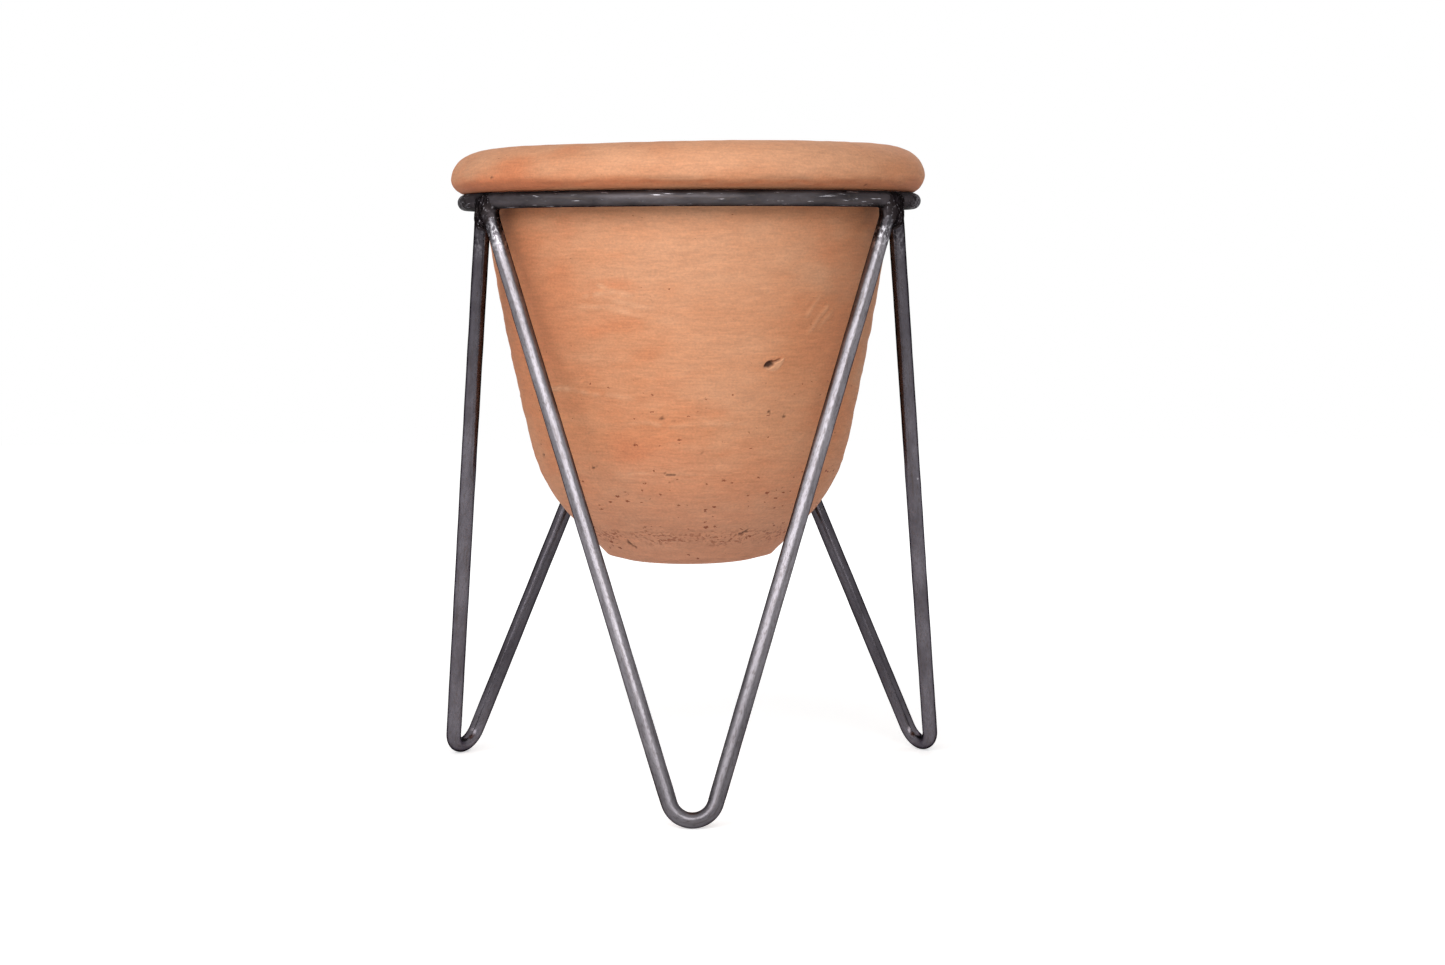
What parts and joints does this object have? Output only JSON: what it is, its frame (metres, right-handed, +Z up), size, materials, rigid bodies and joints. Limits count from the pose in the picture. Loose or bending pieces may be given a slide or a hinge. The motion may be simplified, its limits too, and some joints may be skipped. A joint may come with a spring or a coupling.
{
  "type": "hanging clay pot in a wire stand",
  "caption": "Round-bottomed terracotta pot with a rolled rim, hanging by the rim in a welded round-bar ring stand with V-shaped hairpin legs.",
  "frame": {"origin": "on the floor under the centre of the ring, level with the bottoms of the three feet", "axes": "+Z up along the ring's and the pot's common axis, -Y towards the front leg, +X to the right seen from the front"},
  "size_m": [0.393, 0.399, 0.478],
  "materials": {
    "terracotta": "matte",
    "bar_steel": "satin",
    "weld_metal": "matte"
  },
  "bodies": {
    "stand": {"ring": "bar_steel", "ring_seam_weld": "weld_metal", "leg_front": "bar_steel", "leg_right": "bar_steel", "leg_left": "bar_steel", "weld_back": "weld_metal", "weld_front_left": "weld_metal", "weld_front_right": "weld_metal"},
    "pot": {"pot": "terracotta"}
  },
  "joints": [
    {"name": "pot_lift", "type": "slide", "parent": "stand", "child": "pot", "axis": [0, 0, 1], "range_m": [0, 0.28]}
  ]
}
